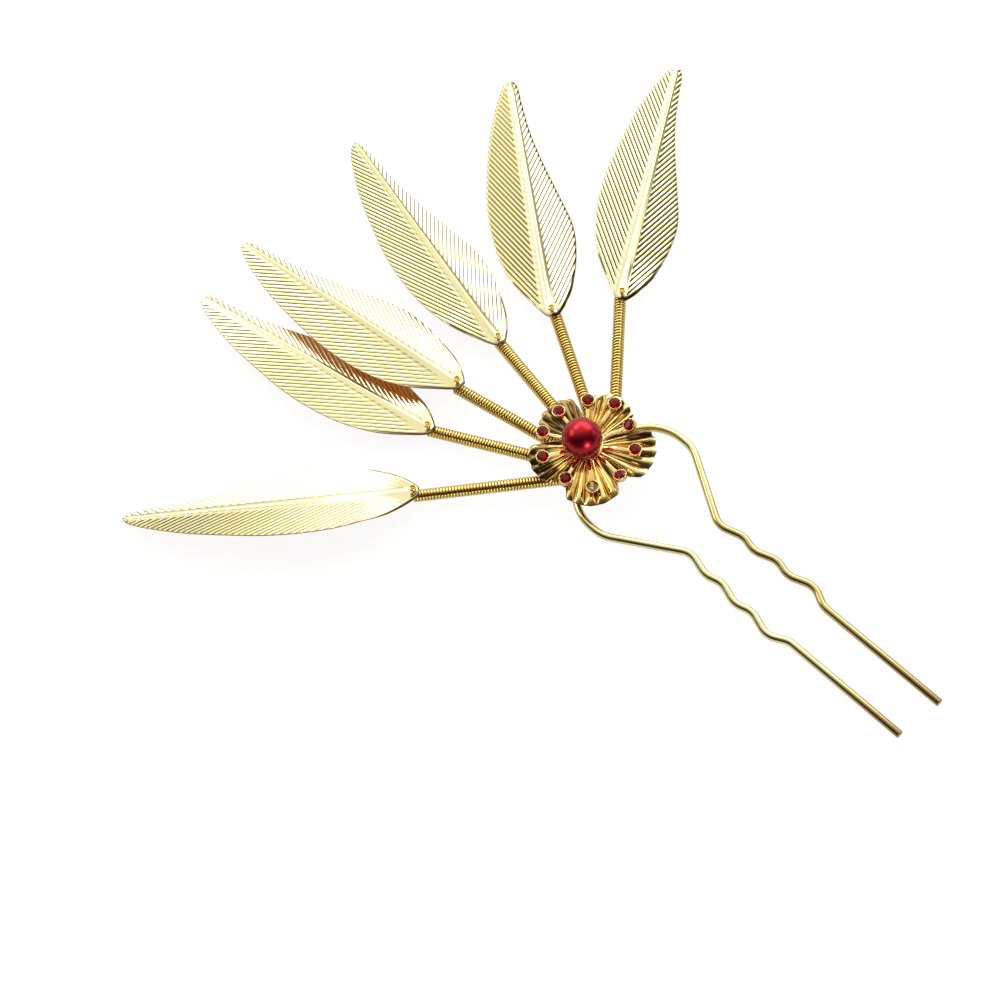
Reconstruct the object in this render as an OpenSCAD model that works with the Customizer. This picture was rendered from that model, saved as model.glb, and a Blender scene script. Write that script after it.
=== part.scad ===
// A u-shaped hairpin that lies on a table: a bulb-shaped wire pin with waved
// legs, and on its arch a five-petalled flower with a red pearl, jewelled
// stamens and a fan of six pressed leaves that tremble on coil springs.
// Millimetres. +Y points from the pin towards the fan, +Z is up, and z = 0 is
// the table that the pin lies on.

/* [Pin] */
// Diameter of the pin's wire
pin_wire = 1.8; // [1.6:0.1:2]
// Distance between the centre lines of the two straight legs
leg_spacing = 11.2; // [10.8:0.1:11.6]
// Length of the left leg's straight end
left_leg = 31; // [25:0.5:34]
// Length of the right leg's straight end
right_leg = 32.5; // [25:0.5:34]

/* [Springs] */
// Outer diameter of each coil spring
coil_outer = 2.9; // [2.7:0.1:2.9]
// Diameter of the spring wire
coil_wire = 0.68; // [0.6:0.02:0.68]

/* [Leaves] */
// Length of a leaf beyond its hole
leaf_length = 66.2; // [64:0.2:68]
// Thickness of the pressed sheet
leaf_sheet = 0.35; // [0.3:0.05:0.4]
// Distance between two ribs, along the vein
rib_pitch = 1.9; // [1.7:0.1:2.4]
// Angle between the ribs and the vein
rib_angle = 30; // [28:1:34]
// Height of a rib from groove to crest
rib_height = 0.26; // [0.1:0.02:0.3]
// How far the vein stands above the ribs
vein_height = 0.4; // [0.2:0.05:0.6]

/* [Flower] */
// Thickness of the petals' sheet
petal_sheet = 0.4; // [0.35:0.05:0.45]
// Height of a pleat from groove to crest
pleat_height = 0.8; // [0.4:0.1:0.9]
// Diameter of the pearl
pearl_d = 9.2; // [8.6:0.1:9.4]
// Diameter of a stone
stone_d = 2.6; // [2.2:0.1:2.6]

/* [Hidden] */
// One step of clearance between two pieces that touch on the real pin
gap = 0.08;

// The part is moved so that its origin is below the middle of its outline
outline_mid = [3.54, 2.27];

// Pin: the bends of one half of the wire, from the arch to the leg
// [distance from the pin's middle line, place along it, radius, steps round the bend]
pin_mid_x = 2.4;
leg_x = leg_spacing / 2;
PIN_BENDS = [
    [15, -1.5, 11, 9],
    [15, -15.9, 8, 3],
    [4.5, -33, 2.6, 4],
    [6.35, -39, 2.4, 3],
    [5.2, -42.9, 2.4, 3],
    [7.1, -48.2, 2.4, 3],
    [5.8, -52.2, 2.4, 3],
    [8, -58.2, 2.4, 4],
    [leg_x, -62.6, 2.6, 3]
];
leg_from = -63.5;
legs_end = -62.6;
wire_sides = 12;
// The straight legs are round and sit this far inside the flats of the bent wire
leg_inset = 0.005;
pin_z = pin_wire / 2 + leg_inset;

// Flower: its centre, and the place of the peg that carries the pearl
flower_at = [-0.5, 0.1];
peg_at = [-1.45, 0.65];
plate_at = [-1, 0.3];
plate_r = 9.3;
plate_z = 2 * pin_z + gap;
plate_t = 0.6;
peg_r = 0.7;
flower_z = 6.2;
flower_hole_r = 2.1;
// [bearing of the petal, reach, height of its rim, half of its width in degrees]
PETALS = [
    [-130.5, 14.8, 6.1, 29.5],
    [-57.5, 15.6, 7.7, 28],
    [11.5, 13.5, 7.8, 28],
    [83.5, 13, 6.8, 27.5],
    [157, 13.5, 6.6, 27.5]
];
pleats = 5;
notch_r = 6.4;
disc_r = 4;

// Stamens: a hub with ten flat arms, each with a cup at its end
// [bearing, reach, height of the stone's girdle, outward lean, 1 if a stone is left]
hub_r = 3.6;
hub_z = flower_z + petal_sheet / 2 + gap;
hub_t = 0.4;
hub_hole_r = 2.2;
arm_w = 0.9;
arm_t = 0.3;
arm_lift = 0.9;
cup_r = stone_d / 2 + 0.25;
cup_h = 0.92;
seat_depth = 0.6;
STAMENS = [
    [42.4, 10.6, 8.5, 0, 1],
    [10, 11.3, 8.9, 0, 1],
    [-23.5, 10.2, 8.8, -35, 1],
    [-58.1, 11, 8.8, 0, 1],
    [-95.4, 11.1, 8.6, -20, 1],
    [-130.1, 11, 8, 0, 0],
    [-164.5, 10.1, 8.2, 0, 1],
    [153.5, 10.5, 8.4, 0, 1],
    [118.5, 10.3, 8.5, 0, 1],
    [82.8, 10.1, 8.6, 10, 1]
];
// Stone: [radius, height] of its table, girdle top, girdle bottom and point
stone_r = stone_d / 2;
STONE_RINGS = [
    [0.55 * stone_r, 0.42 * stone_r],
    [stone_r, 0.06 * stone_r],
    [stone_r, -0.06 * stone_r]
];
stone_sides = 8;
stone_point = -0.42 * stone_r;
pearl_r = pearl_d / 2;
pearl_z = hub_z + hub_t + gap + sqrt(pearl_r * pearl_r - hub_hole_r * hub_hole_r);

// Fan: each spring starts under the flower and ends under its leaf's hole
// [x and y of the spring's start, bearing from +Y, distance between turns]
SPRINGS = [
    [7.43, -0.76, -48.9, 0.8],
    [5.27, 3.9, -30.2, 0.76],
    [1.13, 7.04, -11.2, 0.69],
    [-3.87, 4.67, 10.2, 0.73],
    [-7.72, 3.93, 25.2, 0.7],
    [-8.98, -1.22, 48.6, 0.71]
];
// [x, y and z of the hole, bearing of the vein, rise of the tip,
//  slope of the left half, slope of the right half]
LEAVES = [
    [34.84, 22.5, 3.9, -58.9, 0, 3, -22],
    [20.35, 31.42, 3.9, -37.3, 0.9, -4, -17],
    [6.49, 35.27, 3.9, -13.6, 0.7, 6, -15],
    [-8.55, 33.49, 5.4, 6.4, -1.6, -3, -17],
    [-20.82, 30.92, 3.56, 10, -1.4, 6, -17],
    [-34.51, 21.63, 4.1, 48.3, -1.4, 24, -11]
];
coil_r = coil_outer / 2;
coil_ring_r = coil_r - coil_wire / 2;
coil_root_z = plate_z + plate_t + 2.5 * gap + coil_r;
coil_past_hole = 0.6;
eyelet_ring_r = 0.55;
eyelet_wire = 0.64;
eyelet_back = 0.3;
stem_r = 0.3;
leaf_hole_r = 0.62;

// Leaf outline: [place along the vein, width of the left half, of the right]
leaf_base = -1.3;
OUTLINE = [
    [-1.3, 1, 1.1],
    [0, 2.1, 2.3],
    [3, 4.1, 4.4],
    [9, 7.7, 6.9],
    [16, 10, 8.7],
    [24, 11, 9.2],
    [33, 10.8, 7],
    [42, 9.4, 4.5],
    [51, 7.5, 2.6],
    [59, 4.9, 1.8],
    [64, 2.7, 1.5],
    [leaf_length, 1.1, 1]
];
LEFT = 1;
RIGHT = 2;
vein_half_base = 1.15;
vein_half_tip = 0.3;
fold_from = 0.25;
fold_full_at = 12;
// Rows of rib lines are counted in half pitches from the hole
first_vein = ceil(leaf_base / (rib_pitch / 2));
last_row = floor((leaf_length - 2.2) / (rib_pitch / 2));
probe_s = 5;

// Direction on the table of a bearing counted from +Y towards -X
function heading(bearing) = [-sin(bearing), cos(bearing)];

function unit(v) = v / norm(v);

function smooth(x) = let (t = min(1, max(0, x))) t * t * (3 - 2 * t);

// Everything is drawn in the flower's frame and then moved over the origin
module placed() {
    translate([-outline_mid[0], -outline_mid[1], 0]) children();
}

// Rings of a bent wire: [x, y, heading] at each step round each bend
function bend_rings(a, b, c) =
    let (corner = [b[0], b[1]],
         u = unit([a[0], a[1]] - corner),
         v = unit([c[0], c[1]] - corner),
         turn = 180 - acos(u * v),
         centre = corner + unit(u + v) * b[2] / cos(turn / 2),
         from = corner + u * b[2] * tan(turn / 2) - centre,
         way = cross(from, corner - centre) > 0 ? 1 : -1,
         start = atan2(from[1], from[0]))
    [for (k = [0:b[3]])
        let (angle = start + way * turn * k / b[3], at = centre + b[2] * [cos(angle), sin(angle)])
        [at[0], at[1], angle + way * 90]];

// Wire with flats: its lowest flat lies on the table
module bent_wire(rings) {
    n = wire_sides;
    last = len(rings) - 1;
    corner_r = pin_z / cos(180 / n);
    points = [for (r = rings, k = [0:n - 1])
        let (turn = (k + 0.5) * 360 / n)
        [r[0] - sin(r[2]) * corner_r * cos(turn), r[1] + cos(r[2]) * corner_r * cos(turn), corner_r * sin(turn)]];
    sides = [for (i = [0:last - 1], k = [0:n - 1])
        let (a = i * n + k, b = i * n + (k + 1) % n)
        for (f = [[a, b + n, b], [a, a + n, b + n]]) f];
    ends = [for (k = [1:n - 2])
        for (f = [[0, k, k + 1], [last * n, last * n + k + 1, last * n + k]]) f];
    polyhedron(points = points, faces = concat(sides, ends));
}

module u_pin() {
    half = PIN_BENDS;
    count = len(half);
    bends = concat(
        [[-leg_x, leg_from]],
        [for (i = [count - 1:-1:0]) [-half[i][0], half[i][1], half[i][2], half[i][3]]],
        half,
        [[leg_x, leg_from]]);
    rings = concat(
        [[-leg_x, leg_from, 90]],
        [for (i = [1:len(bends) - 2]) each bend_rings(bends[i - 1], bends[i], bends[i + 1])],
        [[leg_x, leg_from, -90]]);
    color("goldenrod") placed()
        translate([pin_mid_x, 0, pin_z]) {
            bent_wire(rings);
            for (leg = [[-leg_x, left_leg], [leg_x, right_leg]])
                translate([leg[0], leg_from + 0.2, 0])
                    rotate([90, 0, 0])
                        cylinder(r = pin_wire / 2, h = leg_from + 0.2 - legs_end + leg[1], $fn = 32);
        }
}

module back_plate() {
    color("goldenrod") placed()
        difference() {
            translate([plate_at[0], plate_at[1], plate_z])
                cylinder(r = plate_r, h = plate_t, $fn = 64);
            translate([peg_at[0], peg_at[1], 0])
                cylinder(r = peg_r + gap, h = pearl_z, $fn = 32);
        }
}

// Plain hidden peg from the plate up into the pearl
module centre_peg() {
    color("goldenrod") placed()
        translate([peg_at[0], peg_at[1], plate_z])
            cylinder(r = peg_r, h = pearl_z + 1 - plate_z, $fn = 32);
}

module pearl() {
    color("firebrick") placed()
        translate([peg_at[0], peg_at[1], pearl_z])
            difference() {
                sphere(r = pearl_r, $fn = 64);
                translate([0, 0, -pearl_r - 1])
                    cylinder(r = peg_r + gap, h = pearl_r + 2.5, $fn = 32);
            }
}

// A closed sheet from a grid of mid points: rows run round, columns outwards
function grid_faces(n, m, base, up) = [
    for (i = [0:n - 1], j = [0:m - 2])
        let (a = base + i * m + j, b = base + ((i + 1) % n) * m + j)
        for (f = up ? [[a, b, b + 1], [a, b + 1, a + 1]] : [[a, b + 1, b], [a, a + 1, b + 1]]) f
];

// Petal outline and height at a bearing, blended from one petal to the next.
// Each petal is drawn at shares of its half width and reaches its neighbour at 1.
petal_shares = [-1, each [for (k = [-10:10]) 0.088 * k], 1];
function next_petal(i, side) = let (n = len(PETALS)) side > 0 ? (i + 1) % n : (i + n - 1) % n;
function turn_to(i, side) =
    let (d = side * (PETALS[next_petal(i, side)][0] - PETALS[i][0])) (d % 360 + 360) % 360;
function petal_bearing(i, share) =
    let (p = PETALS[i], edge = p[3], side = share < 0 ? -1 : 1, v = abs(share) / 0.88)
    p[0] + (abs(share) == 1 ? side * mid_gap(i, side) : side * edge * v);
function mid_gap(i, side) =
    let (n = next_petal(i, side)) (turn_to(i, side) + PETALS[i][3] - PETALS[n][3]) / 2;
function pleat_phase(share) = share / 0.88 * 180 * pleats;
function petal_reach(p, share) =
    let (v = abs(share) / 0.88)
    abs(share) == 1 ? notch_r
        : p[1] * (1 - 0.1 * v * v) - (v > 0.95 ? 1.4 : v > 0.85 ? 0.4 : 0) + 0.15 * cos(pleat_phase(share));
function rim_height(i, share) =
    let (n = next_petal(i, share < 0 ? -1 : 1), part = abs(share) == 1 ? 0.5 : 0.35 * smooth(abs(share)))
    PETALS[i][2] * (1 - part) + PETALS[n][2] * part;
function flower_point(i, share, ring) =
    let (p = PETALS[i], reach = petal_reach(p, share),
         r = ring < 0 ? flower_hole_r : disc_r + (reach - disc_r) * ring,
         rise = pow(max(0, r - disc_r) / (p[1] - disc_r), 2),
         fade = abs(share) == 1 ? 0 : 1 - 0.5 * smooth((ring - 0.66) / 0.34),
         pleat = pleat_height / 2 * smooth((r - disc_r) / 4) * cos(pleat_phase(share)) * fade,
         curl = ring == 1 ? 0.35 : 0,
         bearing = petal_bearing(i, share))
    [r * cos(bearing), r * sin(bearing), flower_z + (rim_height(i, share) - flower_z) * rise + pleat - curl];
petal_rings = [-1, 0, 0.18, 0.4, 0.66, 0.88, 1];

module flower() {
    shares = [for (k = [0:len(petal_shares) - 2]) petal_shares[k]];
    mid = [for (i = [0:len(PETALS) - 1], share = shares, ring = petal_rings) flower_point(i, share, ring)];
    n = len(PETALS) * len(shares);
    m = len(petal_rings);
    half = [0, 0, petal_sheet / 2];
    points = concat([for (p = mid) p + half], [for (p = mid) p - half]);
    low = n * m;
    rims = [
        for (i = [0:n - 1], j = [0, m - 1])
            let (a = i * m + j, b = ((i + 1) % n) * m + j)
            for (f = j == 0 ? [[a, a + low, b + low], [a, b + low, b]] : [[a, b + low, a + low], [a, b, b + low]]) f
    ];
    faces = concat(grid_faces(n, m, 0, true), grid_faces(n, m, low, false), rims);
    color("gold") placed()
        translate([flower_at[0], flower_at[1], 0])
            polyhedron(points = points, faces = [for (f = faces) [f[2], f[1], f[0]]]);
}

// Stamen frame: origin at the stone's girdle, leaning outwards
module at_stamen(s) {
    translate([flower_at[0], flower_at[1], 0])
        rotate([0, 0, s[0]])
            translate([s[1], 0, s[2]])
                rotate([0, s[3], 0]) children();
}

// Flat arm: off the hub, up over the pleats, then level under the cup
module stamen_arm(s) {
    foot = hub_z + hub_t / 2;
    tip_z = s[2] - seat_depth - 0.01;
    tip_r = s[1] - 0.2;
    bend_r = hub_r + 2.4;
    bend_z = foot + arm_lift;
    translate([flower_at[0], flower_at[1], 0])
        rotate([0, 0, s[0]])
            rotate([90, 0, 0])
                translate([0, 0, -arm_w / 2])
                    linear_extrude(arm_w)
                        polygon([
                            [hub_r - 0.8, foot - arm_t / 2],
                            [hub_r + 0.4, foot - arm_t / 2],
                            [bend_r, bend_z - arm_t / 2],
                            [tip_r, tip_z - arm_t],
                            [tip_r, tip_z],
                            [bend_r - 0.1, bend_z + arm_t / 2],
                            [hub_r + 0.3, foot + arm_t / 2],
                            [hub_r - 0.8, foot + arm_t / 2]
                        ]);
}

module stamens() {
    color("gold") placed()
        difference() {
            union() {
                translate([flower_at[0], flower_at[1], hub_z]) cylinder(r = hub_r, h = hub_t, $fn = 48);
                for (s = STAMENS) {
                    stamen_arm(s);
                    at_stamen(s) translate([0, 0, -cup_h]) cylinder(r = cup_r, h = cup_h + 0.12, $fn = 24);
                }
            }
            translate([peg_at[0], peg_at[1], hub_z - 1]) cylinder(r = hub_hole_r, h = 2, $fn = 48);
            for (s = STAMENS)
                at_stamen(s) translate([0, 0, -seat_depth]) cylinder(r = stone_r + gap, h = cup_h, $fn = 24);
        }
}

// Cut stone: a table, eight crown facets, a girdle and eight lower facets
module stone(i) {
    ring = [for (r = STONE_RINGS, k = [0:stone_sides - 1])
        [r[0] * cos(k * 360 / stone_sides), r[0] * sin(k * 360 / stone_sides), r[1]]];
    top = len(ring);
    points = concat(ring, [[0, 0, STONE_RINGS[0][1]], [0, 0, stone_point]]);
    faces = [
        for (k = [0:stone_sides - 1])
            let (n = (k + 1) % stone_sides, g = stone_sides, h = 2 * stone_sides)
            for (f = [[top, n, k], [k, n, g + n], [k, g + n, g + k],
                [g + k, g + n, h + n], [g + k, h + n, h + k], [h + k, h + n, top + 1]]) f
    ];
    color("darkred") placed()
        at_stamen(STAMENS[i - 1]) rotate([0, 0, 180 / stone_sides]) polyhedron(points = points, faces = faces);
}

// Spring: tight turns round a hollow core, laid from its start to its leaf
function spring_end_z(i) = LEAVES[i][2] - leaf_sheet / 2 - rib_height / 2 - 3.5 * gap - coil_r;
function hole_at(i) = [LEAVES[i][0], LEAVES[i][1]];
function run_to_hole(i) = (hole_at(i) - [SPRINGS[i][0], SPRINGS[i][1]]) * heading(SPRINGS[i][2]);

module turns(length, pitch_near) {
    count = round(length / pitch_near);
    pitch = length / count;
    rotate_extrude($fn = 32)
        union() {
            for (k = [0:count - 1])
                translate([coil_ring_r, (k + 0.5) * pitch]) circle(r = coil_wire / 2, $fn = 16);
            translate([coil_ring_r - coil_wire / 2 + 0.1, pitch / 2]) square([coil_wire / 2, length - pitch]);
        }
}

// The spring's last wire comes up through the leaf's hole and curls on top
module spring(i) {
    s = SPRINGS[i];
    hole = hole_at(i);
    reach = run_to_hole(i);
    tilt = atan2(spring_end_z(i) - coil_root_z, reach);
    curl_z = LEAVES[i][2] + leaf_sheet / 2 + vein_height + eyelet_wire / 2 + gap;
    stem_z = spring_end_z(i) + coil_r - coil_wire;
    curl = hole - heading(LEAVES[i][3]) * eyelet_back;
    color("darkgoldenrod") placed() {
        translate([s[0], s[1], coil_root_z])
            rotate([0, 0, s[2]])
                rotate([tilt - 90, 0, 0])
                    turns((reach + coil_past_hole) / cos(tilt), s[3]);
        translate([hole[0], hole[1], stem_z]) cylinder(r = stem_r, h = curl_z - stem_z, $fn = 16);
        translate([curl[0], curl[1], curl_z])
            rotate_extrude($fn = 24) translate([eyelet_ring_r, 0]) circle(r = eyelet_wire / 2, $fn = 16);
    }
}

// Smooth curve through the outline's table, for the left or the right half
function row_before(s) = max([for (k = [0:len(OUTLINE) - 2]) if (OUTLINE[k][0] <= s || k == 0) k]);
function slope_at(k, side) =
    let (a = max(0, k - 1), b = min(len(OUTLINE) - 1, k + 1))
    (OUTLINE[b][side] - OUTLINE[a][side]) / (OUTLINE[b][0] - OUTLINE[a][0]);
function half_width(s, side) =
    s < leaf_base || s > leaf_length ? -1 :
    let (k = row_before(s), a = OUTLINE[k], b = OUTLINE[k + 1], h = b[0] - a[0], t = (s - a[0]) / h)
    (2 * t * t * t - 3 * t * t + 1) * a[side] + (t * t * t - 2 * t * t + t) * h * slope_at(k, side)
        + (3 * t * t - 2 * t * t * t) * b[side] + (t * t * t - t * t) * h * slope_at(k + 1, side);

// Where a rib line crosses the outline, halved in until it is found
rib_run = 1 / tan(rib_angle);
function inside(s0, w, side) = half_width(s0 + rib_run * w, side) >= w;
function crossing(s0, in, out, side, steps = 14) =
    steps == 0 ? in :
    let (w = (in + out) / 2)
    inside(s0, w, side) ? crossing(s0, w, out, side, steps - 1) : crossing(s0, in, w, side, steps - 1);

// First row whose line still enters the leaf on this side
function first_row(side, k = -1) =
    let (s0 = (k - 1) * rib_pitch / 2)
    inside(s0, (probe_s - s0) / rib_run, side) ? first_row(side, k - 1) : k;
first_left = first_row(LEFT);
first_right = first_row(RIGHT);

function vein_half(s) = vein_half_base + (vein_half_tip - vein_half_base) * s / leaf_length;
function fold_share(s) = fold_from + (1 - fold_from) * smooth(s / fold_full_at);

// A point of the leaf's middle surface: across is positive on the left
function leaf_point(leaf, s, across, lift) =
    let (tilt = (across > 0 ? leaf[5] : leaf[6]) * fold_share(s), w = abs(across))
    [s, sign(across) * w * cos(tilt), w * sin(tilt) + lift + leaf[4] * pow(max(s, 0) / leaf_length, 2)];

// Both ends of the rib line of row k on one side
function rib_ends(leaf, k, side) =
    let (s0 = k * rib_pitch / 2,
         hand = side == LEFT ? 1 : -1,
         probe = k < 0 ? (probe_s - s0) / rib_run : 0.05,
         foot = k < first_vein ? crossing(s0, probe, 0, side)
             : vein_half(s0) * smooth((k - first_vein + 1) / 6),
         tip = max(crossing(s0, probe, 13, side), foot + 0.15),
         wave = (k % 2 == 0 ? 1 : -1) * rib_height / 2)
    [leaf_point(leaf, k == first_vein ? leaf_base : k == last_row ? leaf_length - 0.1
            : max(leaf_base, s0 + rib_run * foot), hand * foot, wave),
     leaf_point(leaf, s0 + rib_run * tip, hand * tip, wave)];

function vein_point(leaf, k) =
    leaf_point(leaf, k == last_row ? leaf_length : max(leaf_base, k == first_vein ? leaf_base : k * rib_pitch / 2),
        0, vein_height);

// One side's strip of quads between neighbouring pairs of points
function strip(a, b, a2, b2, flip) = flip ? [[a, b2, b], [a, a2, b2]] : [[a, b, b2], [a, b2, a2]];

module leaf_sheet_body(leaf) {
    rows = last_row;
    nl = rows - first_left + 1;
    nr = rows - first_right + 1;
    left = [for (k = [first_left:rows]) each rib_ends(leaf, k, LEFT)];
    right = [for (k = [first_right:rows]) each rib_ends(leaf, k, RIGHT)];
    vein = [for (k = [first_vein:rows]) vein_point(leaf, k)];
    mid = concat(left, right, vein);
    low = len(mid);
    r0 = 2 * nl;
    v0 = r0 + 2 * nr;
    half = [0, 0, leaf_sheet / 2];
    top = concat(
        [for (i = [0:nl - 2]) each strip(2 * i, 2 * i + 1, 2 * i + 2, 2 * i + 3, false)],
        [for (i = [0:nr - 2]) each strip(r0 + 2 * i, r0 + 2 * i + 1, r0 + 2 * i + 2, r0 + 2 * i + 3, true)],
        [for (k = [first_vein:rows - 1])
            let (a = v0 + k - first_vein, l = 2 * (k - first_left), r = r0 + 2 * (k - first_right))
            each concat(strip(a, l, a + 1, l + 2, false), strip(a, r, a + 1, r + 2, true))]);
    edge = concat(
        [v0], [for (k = [first_vein:-1:first_left]) 2 * (k - first_left)],
        [for (i = [0:nl - 1]) 2 * i + 1], [2 * nl - 2, v0 + rows - first_vein, r0 + 2 * nr - 2],
        [for (i = [nr - 1:-1:0]) r0 + 2 * i + 1],
        [for (k = [first_right:first_vein]) r0 + 2 * (k - first_right)]);
    n = len(edge);
    wall = [for (i = [0:n - 1])
        let (a = edge[i], b = edge[(i + 1) % n])
        each [[a, a + low, b + low], [a, b + low, b]]];
    polyhedron(
        points = concat([for (p = mid) p + half], [for (p = mid) p - half]),
        faces = concat(top, [for (f = top) [f[2] + low, f[1] + low, f[0] + low]], wall));
}

module leaf(i) {
    l = LEAVES[i];
    color("khaki") placed()
        translate([l[0], l[1], l[2]])
            rotate([0, 0, l[3] + 90])
                difference() {
                    leaf_sheet_body(l);
                    translate([0, 0, -2]) cylinder(r = leaf_hole_r, h = 4, $fn = 24);
                }
}

u_pin();
back_plate();
centre_peg();
flower();
stamens();
pearl();
spring(0);  // spring_1
spring(1);  // spring_2
spring(2);  // spring_3
spring(3);  // spring_4
spring(4);  // spring_5
spring(5);  // spring_6
leaf(0);  // leaf_1
leaf(1);  // leaf_2
leaf(2);  // leaf_3
leaf(3);  // leaf_4
leaf(4);  // leaf_5
leaf(5);  // leaf_6
stone(1);  // stone_1
stone(2);  // stone_2
stone(3);  // stone_3
stone(4);  // stone_4
stone(5);  // stone_5
stone(7);  // stone_7
stone(8);  // stone_8
stone(9);  // stone_9
stone(10);  // stone_10
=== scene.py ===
# %% [markdown]
# # A hairpin with a fan of trembling leaves
#
# The piece is a wire pin with a pleated flower on its arch. Six pressed leaves
# stand on coil springs behind the flower and a red pearl sits in its middle.
# Ten small cups stand round the pearl, and nine of them hold a cut stone. The
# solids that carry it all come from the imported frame. This lesson makes the
# finished surfaces, one kind of piece at a time, and each stands where its
# solid stands.

import math

import bpy
import numpy as np
from mathutils import Matrix, Vector


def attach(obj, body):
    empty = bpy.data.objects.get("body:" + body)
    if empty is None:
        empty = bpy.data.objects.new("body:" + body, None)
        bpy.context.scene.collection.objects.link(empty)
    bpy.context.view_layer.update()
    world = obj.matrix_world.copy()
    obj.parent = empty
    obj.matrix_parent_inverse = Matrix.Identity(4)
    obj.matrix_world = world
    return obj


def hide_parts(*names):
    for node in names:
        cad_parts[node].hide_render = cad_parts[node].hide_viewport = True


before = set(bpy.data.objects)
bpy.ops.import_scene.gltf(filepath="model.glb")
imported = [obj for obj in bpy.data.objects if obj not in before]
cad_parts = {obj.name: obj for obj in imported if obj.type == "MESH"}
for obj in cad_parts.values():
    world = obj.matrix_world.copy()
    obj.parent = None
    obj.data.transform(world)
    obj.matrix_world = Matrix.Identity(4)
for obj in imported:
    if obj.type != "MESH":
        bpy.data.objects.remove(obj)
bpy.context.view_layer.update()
print("solids in the frame:", len(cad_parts))

# %% [markdown]
# A jeweller thinks in millimetres and Blender in metres, so each piece is made
# on the bench in millimetres, at the middle of the scene. It is then set down
# at its place at a thousandth of that size, and the place is applied to its
# mesh. All places are counted from a point close to the middle of the flower.
# The frame's own origin lies below the middle of the whole outline.

# %% The bench
MM = 0.001
OUTLINE_MID = (3.54, 2.27)


def put_away():
    if bpy.context.object and bpy.context.object.mode != "OBJECT":
        bpy.ops.object.mode_set(mode="OBJECT")
    bpy.ops.object.select_all(action="DESELECT")


def take(piece):
    put_away()
    piece.select_set(True)
    bpy.context.view_layer.objects.active = piece
    return piece


def on_the_bench(name):
    piece = bpy.context.object
    piece.name = name
    piece.data.name = name
    return piece


def place_of(x, y, z):
    return Vector(((x - OUTLINE_MID[0]) * MM, (y - OUTLINE_MID[1]) * MM, z * MM))


def settle():
    bpy.ops.object.transform_apply(location=True, rotation=True, scale=True)


def put_at(piece, place):
    take(piece)
    piece.matrix_world = place
    settle()
    return piece


def set_down(piece, x, y, z, turn=Matrix.Identity(4)):
    return put_at(piece, Matrix.Translation(place_of(x, y, z)) @ turn @ Matrix.Scale(MM, 4))


def another(piece, name):
    take(piece)
    bpy.ops.object.duplicate(linked=False)
    return on_the_bench(name)


def fix(piece, kind, **settings):
    take(piece)
    modifier = piece.modifiers.new(kind.title(), kind)
    for key, value in settings.items():
        setattr(modifier, key, value)
    bpy.ops.object.modifier_apply(modifier=modifier.name)


def soften(piece, width, segments, degrees):
    limit = math.radians(degrees)
    fix(piece, "BEVEL", width=width, segments=segments, limit_method="ANGLE", angle_limit=limit)


def join(pieces, name):
    take(pieces[0])
    for piece in pieces:
        piece.select_set(True)
    bpy.ops.object.join()
    return on_the_bench(name)


def clear_away(*pieces):
    for piece in pieces:
        take(piece)
        bpy.ops.object.delete()


def face_outwards(close_ends=False):
    bpy.ops.mesh.select_all(action="SELECT")
    if close_ends:
        bpy.ops.mesh.fill_holes(sides=0)
        bpy.ops.mesh.select_all(action="SELECT")
    bpy.ops.mesh.normals_make_consistent(inside=False)
    bpy.ops.object.mode_set(mode="OBJECT")


def weld(piece, distance):
    take(piece)
    bpy.ops.object.mode_set(mode="EDIT")
    bpy.ops.mesh.select_all(action="SELECT")
    bpy.ops.mesh.remove_doubles(threshold=distance)
    face_outwards()


def pick_faces(piece, wanted):
    bpy.ops.object.mode_set(mode="EDIT")
    bpy.ops.mesh.select_mode(type="FACE")
    bpy.ops.mesh.select_all(action="DESELECT")
    bpy.ops.object.mode_set(mode="OBJECT")
    for face in piece.data.polygons:
        face.select = wanted(face)
    bpy.ops.object.mode_set(mode="EDIT")


def smooth_below(piece, degrees):
    take(piece)
    bpy.ops.object.shade_smooth_by_angle(angle=math.radians(degrees))


def points_of(piece):
    points = np.empty(len(piece.data.vertices) * 3)
    piece.data.vertices.foreach_get("co", points)
    return points.reshape(-1, 3)


def move_points(piece, points):
    piece.data.vertices.foreach_set("co", points.ravel())
    piece.data.update()


def grid_places(piece, along, across):
    points = points_of(piece)
    return [np.rint((points[:, k] + 0.5) * cells).astype(int) for k, cells in enumerate((along, across))]


def mark(piece, name, values):
    piece.data.attributes.new(name, "FLOAT", "POINT").data.foreach_set("value", values)


def ease(x):
    t = np.clip(x, 0, 1)
    return t * t * (3 - 2 * t)


# %% [markdown]
# The camera stands where the picture was taken from. Its place, its direction
# and its focal length were worked out from lengths known on the table.

# %% Camera
CAMERA_AT = (-152.54, -155.67, 424.0)
CAMERA_RIGHT = Vector((0.7012, -0.7106, -0.0587))
CAMERA_DOWN = Vector((-0.6596, -0.6153, -0.4316))
FOCAL_PIXELS = 2085.55
PICTURE_PIXELS = 1000
SENSOR_MM = 36

put_away()
bpy.ops.object.camera_add(location=[c * MM for c in CAMERA_AT])
camera = bpy.context.object
camera.name = "camera"
camera_right = CAMERA_RIGHT.normalized()
camera_back = camera_right.cross(-CAMERA_DOWN).normalized()
camera_up = camera_back.cross(camera_right)
camera.rotation_euler = Matrix((camera_right, camera_up, camera_back)).transposed().to_euler()
camera.data.sensor_width = SENSOR_MM
camera.data.lens = FOCAL_PIXELS / PICTURE_PIXELS * SENSOR_MM
camera.data.clip_start = 0.01
bpy.context.scene.camera = camera
print("camera looks along", [round(-c, 3) for c in camera_back], "lens", round(camera.data.lens, 2))

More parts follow.
